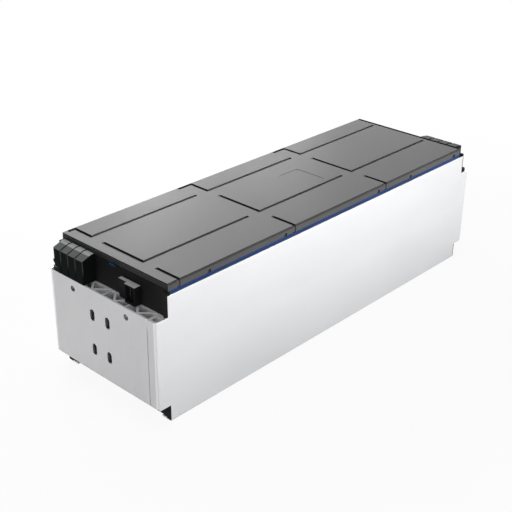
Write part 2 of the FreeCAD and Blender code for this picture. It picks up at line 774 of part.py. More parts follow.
def top_cover():
    shell = box(cover_front_x, cover_rear_x, -half_cover, half_cover, end_skirt_bottom, cover_top)
    for side in (-1, 1):
        edge = side * (half_cover - skirt_wall / 2.0)
        shell = shell.fuse(box(cover_front_x, cover_rear_x, edge - skirt_wall / 2.0, edge + skirt_wall / 2.0,
                               long_skirt_bottom, cover_top))
    shell = shell.removeSplitter()
    shell = shell.makeFillet(cover_corner_radius, corner_edges(shell))
    top_edges = [edge for edge in shell.Edges
                 if all(abs(vertex.Z - cover_top) < tolerance for vertex in edge.Vertexes)]
    shell = shell.makeChamfer(cover_edge_chamfer, top_edges)
    hollow = box(cover_front_x + skirt_wall, cover_rear_x - skirt_wall, -half_cover + skirt_wall,
                 half_cover - skirt_wall, long_skirt_bottom - overshoot, cover_inner_top)
    shell = shell.cut(hollow)
    inside = box(cover_front_x + skirt_wall / 2.0, cover_rear_x - skirt_wall / 2.0,
                 -half_cover + skirt_wall / 2.0, half_cover - skirt_wall / 2.0, bead_bottom, cover_inner_top)
    ribs = [run_box(run, groove_wall, bead_bottom, cover_inner_top).common(inside) for run in groove_runs()]
    for side in (-1, 1):
        middle = side * cover_rib_y
        ribs.append(box(cover_front_x + 2.0 * skirt_wall, cover_rear_x - 2.0 * skirt_wall,
                        middle - cover_rib_wall / 2.0, middle + cover_rib_wall / 2.0,
                        cover_inner_top - cover_rib_depth, cover_inner_top))
    shell = shell.multiFuse(ribs)
    cuts = [run_box(run, 0.0, cover_top - groove_depth, cover_top + overshoot) for run in groove_runs()]
    cuts.append(skirt_line())
    half = groove_width / 2.0
    for start in (-groove_outer_x, -groove_middle_x, groove_inner_x):
        cuts.append(box(start - half, start + half, -half_cover - overshoot, -half_cover + skirt_wall / 2.0,
                        long_skirt_bottom - overshoot, cover_top + overshoot))
    for side in (-1, 1):
        for centre in snap_places(side):
            y0, y1 = sorted((side * (half_cover - skirt_wall - overshoot), side * (half_cover + overshoot)))
            cuts.append(box(centre - snap_width / 2.0, centre + snap_width / 2.0, y0, y1,
                            long_skirt_bottom - overshoot, long_skirt_bottom + snap_height))
    half_recess = label_recess_length / 2.0
    cuts.append(rounded_box(label_recess_x - half_recess, label_recess_x + half_recess,
                            -label_recess_width / 2.0, label_recess_width / 2.0,
                            cover_top - label_recess_depth, cover_top + overshoot, label_recess_radius))
    return shell.cut(Part.makeCompound(cuts)).removeSplitter()


def save(name, shape):
    shape.exportStep("parts/" + name + ".step")


def main():
    os.makedirs("parts", exist_ok=True)
    plate = end_plate()
    save("end_plate_front", plate)
    save("end_plate_rear", turned_to_rear(plate))
    side = side_plate()
    save("side_plate_right", side)
    save("side_plate_left", turned_to_rear(side))
    film = side_film()
    save("side_film_right", film)
    save("side_film_left", turned_to_rear(film))
    save("bottom_film", bottom_film())
    save("end_insulator_front", end_insulator(True))
    save("end_insulator_rear", turned_to_rear(end_insulator(False)))
    for index in range(cell_count):
        save("cell_%02d" % (index + 1), cell(index))
    for index in range(cell_count - 1):
        save("cell_pad_%02d" % (index + 1), cell_pad(index))
    save("busbar_tray", busbar_tray())
    for group in range(groups_in_series - 1):
        save("series_busbar_%d" % (group + 1), series_busbar(group))
    bar = output_busbar()
    save("output_busbar_front", bar)
    save("output_busbar_rear", turned_to_rear(bar))
    save("sampling_flex", sampling_flex())
    save("temperature_sensors", temperature_sensors())
    save("signal_connector", signal_connector())
    save("connector_pins", connector_pins())
    base = terminal_base()
    save("terminal_base_front", base)
    save("terminal_base_rear", turned_to_rear(base))
    nut = terminal_nut()
    save("terminal_nut_front", nut)
    save("terminal_nut_rear", turned_to_rear(nut))
    save("terminal_cover_front", front_terminal_cover())
    save("terminal_cover_rear", rear_terminal_cover())
    save("top_cover", top_cover())
    print("length %.1f width %.1f height %.1f" % (2 * half_length, 2 * half_width, cover_top))


main()
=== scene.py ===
import math
import bpy
from mathutils import Matrix, Vector


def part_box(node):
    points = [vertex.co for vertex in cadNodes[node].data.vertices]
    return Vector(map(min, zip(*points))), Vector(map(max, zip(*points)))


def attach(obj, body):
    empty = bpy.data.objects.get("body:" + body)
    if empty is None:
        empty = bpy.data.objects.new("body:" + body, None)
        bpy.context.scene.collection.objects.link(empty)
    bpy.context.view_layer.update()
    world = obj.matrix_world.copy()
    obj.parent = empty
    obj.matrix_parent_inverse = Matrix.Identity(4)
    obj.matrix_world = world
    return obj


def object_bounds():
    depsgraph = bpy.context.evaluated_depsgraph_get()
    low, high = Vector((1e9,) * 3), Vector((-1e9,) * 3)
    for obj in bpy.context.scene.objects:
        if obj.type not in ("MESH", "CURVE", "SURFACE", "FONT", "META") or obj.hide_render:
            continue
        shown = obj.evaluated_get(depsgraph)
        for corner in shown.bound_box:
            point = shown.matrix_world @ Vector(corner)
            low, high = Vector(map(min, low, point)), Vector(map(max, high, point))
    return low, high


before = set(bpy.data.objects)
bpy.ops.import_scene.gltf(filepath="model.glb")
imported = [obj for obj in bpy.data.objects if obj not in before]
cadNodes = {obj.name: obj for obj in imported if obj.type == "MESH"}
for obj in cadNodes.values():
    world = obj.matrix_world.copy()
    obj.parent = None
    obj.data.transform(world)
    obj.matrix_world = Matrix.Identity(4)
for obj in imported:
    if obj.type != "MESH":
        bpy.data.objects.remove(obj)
cadLow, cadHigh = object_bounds()
print("frame loaded:", len(cadNodes), "nodes")

mm = 0.001


# node helpers: every material below is one tree of these

def addNode(tree, kind, inputs=None, **settings):
    node = tree.nodes.new(kind)
    for key, value in settings.items():
        setattr(node, key, value)
    for key, value in (inputs or {}).items():
        if isinstance(value, bpy.types.NodeSocket):
            tree.links.new(value, node.inputs[key])
        else:
            node.inputs[key].default_value = value
    return node


def startTree(owner, outputKind):
    owner.use_nodes = True
    tree = owner.node_tree
    tree.nodes.clear()
    return tree, tree.nodes.new(outputKind)


def startMaterial(name, uniform):
    # what is the same all over the surface is set on the shader's own sockets
    material = bpy.data.materials.new(name)
    tree, output = startTree(material, "ShaderNodeOutputMaterial")
    shader = addNode(tree, "ShaderNodeBsdfPrincipled", uniform)
    tree.links.new(shader.outputs["BSDF"], output.inputs["Surface"])
    return material, tree, shader


def finishMaterial(tree, shader, colour, rough, normal):
    for key, source in (("Base Color", colour), ("Roughness", rough), ("Normal", normal)):
        tree.links.new(source, shader.inputs[key])


def place(tree, stretch=(1, 1, 1)):
    coords = addNode(tree, "ShaderNodeTexCoord").outputs["Object"]
    return addNode(tree, "ShaderNodeMapping", {"Vector": coords, "Scale": stretch}).outputs["Vector"]


# detail and roughness of each kind of unevenness
unevenness = {"grain": (3.0, 0.65), "scuffs": (4.0, 0.7), "sheetClouds": (3.0, 0.55), "texture": (2.0, 0.6),
              "mouldClouds": (4.0, 0.6), "dust": (3.0, 0.75), "ripples": (2.0, 0.5)}
noiseSpread = (0.3, 0.7)  # the part of a noise's range that most of it fills


def noise(tree, vector, kind, scale=1.0):
    detail, roughness = unevenness[kind]
    node = addNode(tree, "ShaderNodeTexNoise", {"Vector": vector, "Scale": scale, "Detail": detail,
                                                "Roughness": roughness})
    return node.outputs["Fac"]


def remap(tree, value, low, high, toLow=0.0, toHigh=1.0):
    node = addNode(tree, "ShaderNodeMapRange", {"Value": value, "From Min": low, "From Max": high,
                                                "To Min": toLow, "To Max": toHigh})
    return node.outputs["Result"]


def asColour(value):
    return value if isinstance(value, bpy.types.NodeSocket) else (*value, 1.0)


def blendColour(tree, share, first, second):
    # a colour mix takes its share at socket 0 and its colours at 6 and 7
    inputs = {0: share, 6: asColour(first), 7: asColour(second)}
    return addNode(tree, "ShaderNodeMix", inputs, data_type="RGBA").outputs[2]


def arithmetic(tree, operation, *numbers):
    return addNode(tree, "ShaderNodeMath", dict(enumerate(numbers)), operation=operation).outputs[0]


def multiply(tree, first, second):
    return arithmetic(tree, "MULTIPLY", first, second)


edgeLean = {"samples": 4, "start": 0.02, "full": 0.25}


def edgeWearAndHighlight(tree, radius):
    # 1 along outer edges, 0 on flats: how far a rounded normal leans away from the true one; the edge colour
    #                                  it brings is partly wear and partly a painted highlight
    rounded = addNode(tree, "ShaderNodeBevel", {"Radius": radius}, samples=edgeLean["samples"])
    true = addNode(tree, "ShaderNodeNewGeometry")
    alike = addNode(tree, "ShaderNodeVectorMath", {0: rounded.outputs["Normal"], 1: true.outputs["Normal"]},
                    operation="DOT_PRODUCT")
    return remap(tree, alike.outputs["Value"], 1.0 - edgeLean["start"], 1.0 - edgeLean["full"])


def along(tree, vector, axis, start, full):
    # 0 up to the start, 1 from full on: Z up, X and Y both ways from the middle, -Y to the right only
    part = addNode(tree, "ShaderNodeSeparateXYZ", {"Vector": vector}).outputs[axis[-1]]
    if axis in ("X", "Y"):
        part = arithmetic(tree, "ABSOLUTE", part)
    sign = -1.0 if axis.startswith("-") else 1.0
    return remap(tree, part, sign * start, sign * full)


def facing(tree, axis, start):
    # 1 on faces that look along the axis
    return along(tree, addNode(tree, "ShaderNodeNewGeometry").outputs["Normal"], axis, start, 1.0)


def band(tree, axis, start, full):
    # by place on the module, in mm
    return along(tree, addNode(tree, "ShaderNodeTexCoord").outputs["Object"], axis, start * mm, full * mm)


def bump(tree, height, distance, under=None):
    inputs = {"Height": height, "Distance": distance, "Strength": 1.0}
    if under is not None:
        inputs["Normal"] = under
    return addNode(tree, "ShaderNodeBump", inputs).outputs["Normal"]


# metals; in all finishes a span says where a mark starts and where it is full, in mm by place on the
# module, and a facing how nearly along the axis a face has to look

metalUsual = {"cloudSpread": (0.35, 0.7), "scuffSpread": (0.3, 0.75), "edgeShare": 0.5}


def bareMetal(name, ownValues):
    values = {**metalUsual, **ownValues}
    material, tree, shader = startMaterial(name, {"Metallic": 1.0})
    grain = noise(tree, place(tree, values["grain"]), "grain")
    clouds = noise(tree, place(tree), "sheetClouds", values["cloudScale"])
    scuffs = noise(tree, place(tree, values["scuff"]), "scuffs")
    colour = blendColour(tree, remap(tree, grain, *noiseSpread), values["dark"], values["light"])
    cloudShare = remap(tree, clouds, *values["cloudSpread"], 0.0, values["cloudShare"])
    colour = blendColour(tree, cloudShare, colour, values["cloudColour"])
    # rubbed edges, paler partly from wear and partly as a painted highlight
    wearAndHighlight = multiply(tree, edgeWearAndHighlight(tree, values["edge"]), values["edgeShare"])
    colour = blendColour(tree, wearAndHighlight, colour, values["edgeColour"])
    rough = remap(tree, scuffs, *values["scuffSpread"], *values["rough"])
    # painted shade: the side plate's sheet is painted darker towards its foot
    if "footColour" in values:
        colour = blendColour(tree, band(tree, "Z", *values["footSpan"]), colour, values["footColour"])
    if "hollow" in values:
        # painted shade inside the extrusion's hollows, and painted light in the pockets under its open top
        hollow = values["hollow"]
        inside = multiply(tree, band(tree, "X", *hollow["frontSpan"]), band(tree, "Y", *hollow["sideSpan"]))
        inside = multiply(tree, inside, band(tree, "Z", *hollow["footSpan"]))
        pocketLightMask = band(tree, "Z", *hollow["pocketSpan"])
        hollowShadeAndLight = blendColour(tree, pocketLightMask, hollow["deepColour"], hollow["pocketLightColour"])
        colour = blendColour(tree, inside, colour, hollowShadeAndLight)
    # the sawn top: rougher, and painted shade makes it darker
    if "sawnTopShadeColour" in values:
        sawnShadedTop = facing(tree, "Z", values["sawnFacing"])
        colour = blendColour(tree, sawnShadedTop, colour, values["sawnTopShadeColour"])
        rough = arithmetic(tree, "MAXIMUM", rough, multiply(tree, sawnShadedTop, values["sawnRough"]))
    if "cornerHighlightColour" in values:
        # at the right only: a painted highlight along the front face's rounded corner, then painted shade as
        # a dark line where the side plate's sheet begins; faces that look sideways are painted paler
        cornerHighlight = multiply(tree, band(tree, "-Y", *values["cornerSpan"]),
                          facing(tree, "X", values["cornerFacing"]))
        colour = blendColour(tree, cornerHighlight, colour, values["cornerHighlightColour"])
        seamShade = multiply(tree, band(tree, "-Y", *values["lineSpan"]), band(tree, "-Y", *values["lineEnd"]))
        colour = blendColour(tree, seamShade, colour, values["seamShadeColour"])
        flankLight = facing(tree, "Y", values["flankFacing"])
        colour = blendColour(tree, flankLight, colour, values["flankLightColour"])
    normal = bump(tree, clouds, values["waveDepth"], bump(tree, grain, values["grainDepth"]))
    finishMaterial(tree, shader, colour, rough, normal)
    return material


sidePlateMetal = bareMetal("side plate sheet", {
    "dark": (0.765, 0.768, 0.778), "light": (0.795, 0.798, 0.808), "cloudColour": (0.82, 0.82, 0.83),
    "cloudScale": 7.0, "cloudShare": 0.3, "edgeColour": (0.9, 0.9, 0.9), "edge": 0.4 * mm,
    "grain": (25.0, 2600.0, 2600.0), "scuff": (14.0, 90.0, 60.0), "rough": (0.42, 0.46),
    "grainDepth": 0.001 * mm, "waveDepth": 0.001 * mm,
    "footColour": (0.67, 0.675, 0.685), "footSpan": (75.0, 5.0)})

endPlateMetal = bareMetal("end plate extrusion", {
    "dark": (0.545, 0.545, 0.558), "light": (0.57, 0.57, 0.58), "cloudColour": (0.59, 0.59, 0.595),
    "cloudScale": 14.0, "cloudShare": 0.5, "edgeColour": (0.85, 0.85, 0.86), "edge": 0.4 * mm,
    "grain": (1500.0, 1500.0, 12.0), "scuff": (70.0, 70.0, 18.0), "rough": (0.4, 0.54),
    "grainDepth": 0.002 * mm, "waveDepth": 0.006 * mm,
    "sawnTopShadeColour": (0.42, 0.42, 0.43), "sawnFacing": 0.9, "sawnRough": 0.8,
    "cornerHighlightColour": (0.76, 0.76, 0.76), "cornerSpan": (76.6, 78.2), "cornerFacing": 0.3,
    "seamShadeColour": (0.2, 0.2, 0.205), "lineSpan": (79.9, 80.7), "lineEnd": (82.6, 82.0),
    "flankLightColour": (0.68, 0.68, 0.69), "flankFacing": 0.75,
    "hollow": {"frontSpan": (270.0, 269.7), "sideSpan": (77.0, 76.5), "footSpan": (3.0, 6.0),
               "pocketSpan": (106.0, 112.0), "deepColour": (0.1, 0.1, 0.103),
               "pocketLightColour": (0.85, 0.85, 0.86)}})

busbarMetal = bareMetal("busbar strip", {
    "dark": (0.7, 0.7, 0.71), "light": (0.8, 0.8, 0.8), "cloudColour": (0.66, 0.67, 0.68),
    "cloudScale": 40.0, "cloudShare": 0.4, "edgeColour": (0.9, 0.9, 0.9), "edge": 0.3 * mm,
    "grain": (30.0, 1800.0, 1800.0), "scuff": (50.0, 200.0, 80.0), "rough": (0.28, 0.42),
    "grainDepth": 0.004 * mm, "waveDepth": 0.02 * mm})

canMetal = bareMetal("cell can", {
    "dark": (0.62, 0.63, 0.65), "light": (0.7, 0.71, 0.73), "cloudColour": (0.58, 0.59, 0.61),
    "cloudScale": 18.0, "cloudShare": 0.5, "edgeColour": (0.82, 0.82, 0.83), "edge": 0.4 * mm,
    "grain": (900.0, 900.0, 14.0), "scuff": (60.0, 60.0, 12.0), "rough": (0.3, 0.44),
    "grainDepth": 0.004 * mm, "waveDepth": 0.03 * mm})

nutMetal = bareMetal("zinc plated steel", {
    "dark": (0.5, 0.51, 0.52), "light": (0.62, 0.62, 0.62), "cloudColour": (0.55, 0.56, 0.6),
    "cloudScale": 180.0, "cloudShare": 0.5, "edgeColour": (0.8, 0.8, 0.8), "edge": 0.2 * mm,
    "grain": (900.0, 900.0, 900.0), "scuff": (300.0, 300.0, 300.0), "rough": (0.3, 0.45),
    "grainDepth": 0.003 * mm, "waveDepth": 0.01 * mm})

weldMetal = bareMetal("weld bead", {
    "dark": (0.6, 0.6, 0.61), "light": (0.7, 0.7, 0.71), "cloudColour": (0.55, 0.55, 0.57),
    "cloudScale": 120.0, "cloudShare": 0.5, "edgeColour": (0.6, 0.6, 0.6), "edge": 0.2 * mm,
    "grain": (600.0, 600.0, 600.0), "scuff": (200.0, 200.0, 200.0), "rough": (0.34, 0.5),
    "grainDepth": 0.01 * mm, "waveDepth": 0.03 * mm})

# painted shade: the pins are made near black, as they sit in the socket's shade
shadedPinMetal = bareMetal("tinned brass painted dark", {
    "dark": (0.1, 0.1, 0.105), "light": (0.14, 0.14, 0.14), "cloudColour": (0.15, 0.14, 0.12),
    "cloudScale": 300.0, "cloudShare": 0.4, "edgeColour": (0.6, 0.6, 0.6), "edge": 0.1 * mm,
    "grain": (200.0, 2500.0, 2500.0), "scuff": (500.0, 500.0, 500.0), "rough": (0.22, 0.34),
    "grainDepth": 0.002 * mm, "waveDepth": 0.004 * mm})
print("metals made")


# plastics

plasticUsual = {"ior": 1.5, "gloss": 0.5, "topLightAndDustFacing": 0.85, "patchShare": (0.86, 1.0),
                "dustSpread": (0.5, 0.8), "sideFacing": 0.8}


def mouldedPlastic(name, ownValues):
    values = {**plasticUsual, **ownValues}
    material, tree, shader = startMaterial(name, {"Metallic": 0.0, "IOR": values["ior"],
                                                  "Specular IOR Level": values["gloss"]})
    spot = place(tree)
    texture = noise(tree, spot, "texture", values["textureScale"])
    clouds = noise(tree, spot, "mouldClouds", values["cloudScale"])
    dust = noise(tree, spot, "dust", values["dustScale"])
    patchy = remap(tree, clouds, *noiseSpread, *values["patchShare"])
    colour = blendColour(tree, remap(tree, clouds, *noiseSpread), values["dark"], values["light"])
    # painted light: faces that look up are painted paler than the walls, as if lit from above
    upward = facing(tree, "Z", values["topLightAndDustFacing"])
    if "topLightAndDustSpan" in values:
        upward = multiply(tree, upward, band(tree, "Z", *values["topLightAndDustSpan"]))
    topLightColour = values.get("topLightColour", values["light"])
    colour = blendColour(tree, multiply(tree, patchy, upward), colour, topLightColour)
    # painted light: the inner part of each cap's top, away from the module's end, painted paler still
    if "crownLightColour" in values:
        crownLight = multiply(tree, upward, band(tree, "X", *values["crownSpan"]))
        colour = blendColour(tree, crownLight, colour, values["crownLightColour"])
    # painted light: faces that look sideways are painted paler, as if lit from the side
    if "sideLightColour" in values:
        side = multiply(tree, patchy, facing(tree, "Y", values["sideFacing"]))
        colour = blendColour(tree, side, colour, values["sideLightColour"])
    if "grooveLightColour" in values:
        # painted light on the long grooves' walls that look right, inside the cover's own side
        grooveLight = multiply(tree, facing(tree, "-Y", values["sideFacing"]),
                          band(tree, "Y", *values["grooveSpan"]))
        colour = blendColour(tree, grooveLight, colour, values["grooveLightColour"])
    if "cornerHighlightColour" in values:
        # painted highlight on the upright corners between the front and the side
        uprightCornerHighlight = multiply(tree, facing(tree, "X", values["cornerFacing"]),
                          facing(tree, "Y", values["cornerFacing"]))
        uprightCornerHighlight = multiply(tree, uprightCornerHighlight, band(tree, "Z", *values["cornerSpan"]))
        corner = multiply(tree, uprightCornerHighlight, values["cornerStrength"])
        colour = blendColour(tree, corner, colour, values["cornerHighlightColour"])
    if "footColour" in values:
        for axis, span in values["footSpans"].items():
            colour = blendColour(tree, band(tree, axis, *span), colour, values["footColour"])
    specks = multiply(tree, remap(tree, dust, *values["dustSpread"], 0.0, values["dustShare"]), upward)
    colour = blendColour(tree, specks, colour, values["dustColour"])
    # rubbed edges, paler partly from wear and partly as a painted highlight
    wearAndHighlight = multiply(tree, edgeWearAndHighlight(tree, values["edge"]), values["edgeShare"])
    colour = blendColour(tree, wearAndHighlight, colour, values["edgeColour"])
    rough = remap(tree, clouds, *noiseSpread, *values["rough"])
    finishMaterial(tree, shader, colour, rough, bump(tree, texture, values["textureDepth"]))
    return material


# painted light: the cover's paler top, long sides and groove walls
coverPlastic = mouldedPlastic("cover plastic", {
    "dark": (0.012, 0.0125, 0.0132), "light": (0.017, 0.0175, 0.0182), "textureScale": 1600.0,
    "textureDepth": 0.02 * mm, "cloudScale": 11.0, "dustScale": 120.0, "dustShare": 0.1,
    "dustColour": (0.2, 0.2, 0.2), "edge": 0.5 * mm, "edgeShare": 0.3,
    "edgeColour": (0.09, 0.09, 0.095), "rough": (0.36, 0.44), "gloss": 0.102,
    "topLightColour": (0.156, 0.156, 0.158), "sideLightColour": (0.15, 0.147, 0.147),
    "grooveLightColour": (0.54, 0.53, 0.53), "grooveSpan": (76.0, 75.0)})

# painted light: the caps' paler tops, inner tops, sides and upright corners
capValues = {
    "dark": (0.0025, 0.0034, 0.0034), "light": (0.004, 0.0052, 0.0052), "textureScale": 2200.0,
    "textureDepth": 0.008 * mm, "cloudScale": 40.0, "dustScale": 260.0, "dustShare": 0.08,
    "dustColour": (0.2, 0.2, 0.2), "edge": 0.4 * mm, "edgeShare": 0.4,
    "edgeColour": (0.07, 0.08, 0.08), "rough": (0.3, 0.4), "gloss": 0.015,
    "topLightColour": (0.2, 0.212, 0.206), "topLightAndDustFacing": 0.72,
    "crownLightColour": (0.5, 0.515, 0.505), "crownSpan": (261.5, 260.9),
    "sideLightColour": (0.014, 0.0165, 0.0165), "cornerHighlightColour": (0.06, 0.066, 0.066),
    "cornerFacing": 0.2, "cornerSpan": (129.0, 137.0), "cornerStrength": 2.5}
capPlastic = mouldedPlastic("terminal cover plastic", capValues)
# a copy of the cap plastic whose painted top light is dimmer, as the far cap is lit less
dimmerLitRearCapPlastic = mouldedPlastic("rear terminal cover plastic, dimmer painted light", {
    **capValues, "topLightColour": (0.11, 0.115, 0.113), "crownLightColour": (0.16, 0.165, 0.165)})

# painted light: the header's top is painted pale
connectorPlastic = mouldedPlastic("header plastic", {
    "dark": (0.004, 0.004, 0.005), "light": (0.006, 0.006, 0.0075), "textureScale": 2600.0,
    "textureDepth": 0.01 * mm, "cloudScale": 60.0, "dustScale": 300.0, "dustShare": 0.06,
    "dustColour": (0.2, 0.2, 0.2), "edge": 0.3 * mm, "edgeShare": 0.3,
    "edgeColour": (0.05, 0.05, 0.055), "rough": (0.36, 0.46), "gloss": 0.05,
    "topLightColour": (0.56, 0.56, 0.565), "topLightAndDustSpan": (138.0, 139.0), "sideLightColour": (0.02, 0.02, 0.021)})

basePlastic = mouldedPlastic("terminal base plastic", {
    "dark": (0.006, 0.0065, 0.007), "light": (0.009, 0.0095, 0.01), "textureScale": 1500.0,
    "textureDepth": 0.012 * mm, "cloudScale": 50.0, "dustScale": 280.0, "dustShare": 0.1,
    "dustColour": (0.1, 0.1, 0.1), "edge": 0.4 * mm, "edgeShare": 0.35,
    "edgeColour": (0.07, 0.07, 0.075), "rough": (0.4, 0.5), "gloss": 0.06})

insulatorPlastic = mouldedPlastic("insulator plastic", {
    "dark": (0.004, 0.004, 0.004), "light": (0.006, 0.006, 0.006), "textureScale": 1200.0,
    "textureDepth": 0.015 * mm, "cloudScale": 24.0, "dustScale": 160.0, "dustShare": 0.05,
    "dustColour": (0.06, 0.06, 0.06), "edge": 0.4 * mm, "edgeShare": 0.3,
    "edgeColour": (0.03, 0.03, 0.03), "rough": (0.5, 0.62), "gloss": 0.04,
    "footColour": (0.013, 0.0128, 0.0128), "footSpans": {"Z": (142.0, 118.0), "Y": (60.0, 82.0)}})

trayPlastic = mouldedPlastic("tray plastic", {
    "dark": (0.014, 0.014, 0.016), "light": (0.022, 0.022, 0.024), "textureScale": 1300.0,
    "textureDepth": 0.015 * mm, "cloudScale": 20.0, "dustScale": 140.0, "dustShare": 0.08,
    "dustColour": (0.09, 0.09, 0.09), "edge": 0.4 * mm, "edgeShare": 0.3,
    "edgeColour": (0.06, 0.06, 0.06), "rough": (0.42, 0.52), "gloss": 0.45})

padFelt = mouldedPlastic("cell pad fibre", {
    "dark": (0.5, 0.51, 0.53), "light": (0.6, 0.61, 0.62), "textureScale": 2400.0,
    "textureDepth": 0.05 * mm, "cloudScale": 60.0, "dustScale": 400.0, "dustShare": 0.3,
    "dustColour": (0.45, 0.45, 0.45), "edge": 0.2 * mm, "edgeShare": 0.4,
    "edgeColour": (0.7, 0.7, 0.7), "rough": (0.8, 0.92), "gloss": 0.2})

sensorResin = mouldedPlastic("sensor resin", {
    "dark": (0.012, 0.012, 0.014), "light": (0.02, 0.02, 0.024), "textureScale": 900.0,
    "textureDepth": 0.01 * mm, "cloudScale": 300.0, "dustScale": 600.0, "dustShare": 0.1,
    "dustColour": (0.08, 0.08, 0.08), "edge": 0.3 * mm, "edgeShare": 0.3,
    "edgeColour": (0.06, 0.06, 0.06), "rough": (0.12, 0.22), "gloss": 0.5})
print("plastics made")


# films and laminates: a faintly rippled sheet, the clear one and the flex with a smooth coat

filmUsual = {"gloss": 0.5, "edgeShare": 0.5}


def film(name, ownValues):
    values = {**filmUsual, **ownValues}
    material, tree, shader = startMaterial(name, {"Metallic": 0.0, "Coat Weight": values["coat"],
                                                  "Coat Roughness": values["coatRough"],
                                                  "Specular IOR Level": values["gloss"]})
    ripples = noise(tree, place(tree, values["ripple"]), "ripples")
    clouds = noise(tree, place(tree), "sheetClouds", values["cloudScale"])
    colour = blendColour(tree, remap(tree, clouds, *noiseSpread), values["dark"], values["light"])
    # rubbed edges, paler partly from wear and partly as a painted highlight
    wearAndHighlight = multiply(tree, edgeWearAndHighlight(tree, values["edge"]), values["edgeShare"])
    colour = blendColour(tree, wearAndHighlight, colour, values["edgeColour"])
    rough = remap(tree, clouds, *noiseSpread, *values["rough"])
    finishMaterial(tree, shader, colour, rough, bump(tree, ripples, values["rippleDepth"]))
    return material


blueFilmValues = {
    "dark": (0.004, 0.034, 0.15), "light": (0.01, 0.06, 0.25), "cloudScale": 16.0,
    "ripple": (60.0, 200.0, 200.0), "rippleDepth": 0.15 * mm, "edge": 0.3 * mm,
    "edgeColour": (0.03, 0.11, 0.36), "rough": (0.4, 0.52), "coat": 0.0, "coatRough": 0.2,
    "gloss": 0.2}
blueFilm = film("blue film", blueFilmValues)
shadedFilm = film("blue film in the shade", {
    **blueFilmValues, "dark": (0.001, 0.02, 0.055), "light": (0.002, 0.032, 0.085),
    "edgeColour": (0.003, 0.04, 0.1), "gloss": 0.05})

clearFilm = film("bottom film", {
    "dark": (0.62, 0.63, 0.65), "light": (0.72, 0.73, 0.75), "cloudScale": 20.0,
    "ripple": (80.0, 80.0, 200.0), "rippleDepth": 0.1 * mm, "edge": 0.2 * mm,
    "edgeColour": (0.8, 0.8, 0.82), "rough": (0.35, 0.5), "coat": 0.3, "coatRough": 0.2})

flexLaminate = film("flex laminate", {
    "dark": (0.4, 0.17, 0.02), "light": (0.56, 0.27, 0.04), "cloudScale": 60.0,
    "ripple": (200.0, 600.0, 200.0), "rippleDepth": 0.04 * mm, "edge": 0.15 * mm,
    "edgeColour": (0.7, 0.42, 0.1), "rough": (0.25, 0.36), "coat": 0.5, "coatRough": 0.1})
print("films made")


# which finish each node of the frame takes, by how its name starts: the first that fits
finishes = {
    "end_plate": endPlateMetal, "side_plate": sidePlateMetal, "side_film": blueFilm,
    "bottom_film": clearFilm, "end_insulator": insulatorPlastic, "cell_pad": padFelt,
    "cell_": canMetal, "busbar_tray": trayPlastic, "series_busbar": busbarMetal,
    "output_busbar": busbarMetal, "sampling_flex": flexLaminate, "temperature": sensorResin,
    "signal_connector": connectorPlastic, "connector_pins": shadedPinMetal, "terminal_base": basePlastic,
    "terminal_nut": nutMetal, "terminal_cover_rear": dimmerLitRearCapPlastic, "terminal_cover": capPlastic,
    "top_cover": coverPlastic}

for nodeName, node in cadNodes.items():
    finish = next(finishes[start] for start in finishes if nodeName.startswith(start))
    node.data.materials.clear()
    node.data.materials.append(finish)
print("finishes set")


# every outer edge of a moulded, sawn or cut piece is broken a little
edgeBreaks = {
    "end_plate": 0.25, "side_plate": 0.25, "top_cover": 0.2, "terminal_cover": 0.3,
    "signal_connector": 0.3, "terminal_base": 0.3, "end_insulator": 0.2, "terminal_nut": 0.2}
breakSettings = {"weldDistance": 0.005, "flatAngle": 1.0, "sharpAngle": 28.0, "segments": 2}


def breakEdges(node, width):
    weld = node.modifiers.new("join corners", "WELD")
    weld.merge_threshold = breakSettings["weldDistance"] * mm
    flat = node.modifiers.new("whole faces", "DECIMATE")
    flat.decimate_type = "DISSOLVE"
    flat.angle_limit = math.radians(breakSettings["flatAngle"])
    cut = node.modifiers.new("broken edges", "BEVEL")
    cut.width = width * mm
    cut.segments = breakSettings["segments"]
    cut.limit_method = "ANGLE"
    cut.angle_limit = math.radians(breakSettings["sharpAngle"])
    cut.use_clamp_overlap = True
    even = node.modifiers.new("even shading", "WEIGHTED_NORMAL")
    even.keep_sharp = True


for nodeName, node in cadNodes.items():
    for start, width in edgeBreaks.items():
        if nodeName.startswith(start):
            breakEdges(node, width)
print("edges broken")


def addObject(name, data):
    thing = bpy.data.objects.new(name, data)
    bpy.context.scene.collection.objects.link(thing)
    return thing


def addPiece(name, vertices, faces, material):
    mesh = bpy.data.meshes.new(name)
    mesh.from_pydata(vertices, [], faces)
    mesh.update()
    mesh.materials.append(material)
    piece = addObject(name, mesh)
    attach(piece, "root")
    return piece


# weld bead: a rippled run down the groove between each end plate's corner and the side plate's tab
# sizes in mm; each ripple swells at once and falls off, and its crest sags outward by a share of a step
weldBead = {"radius": 0.85, "setback": 1.0, "inset": 0.35, "pitch": 0.75, "swell": 0.12, "fall": 0.9,
            "middle": 0.7, "sag": 0.35, "endShare": 0.5, "around": 10, "perRipple": 4, "endGap": 1.5}


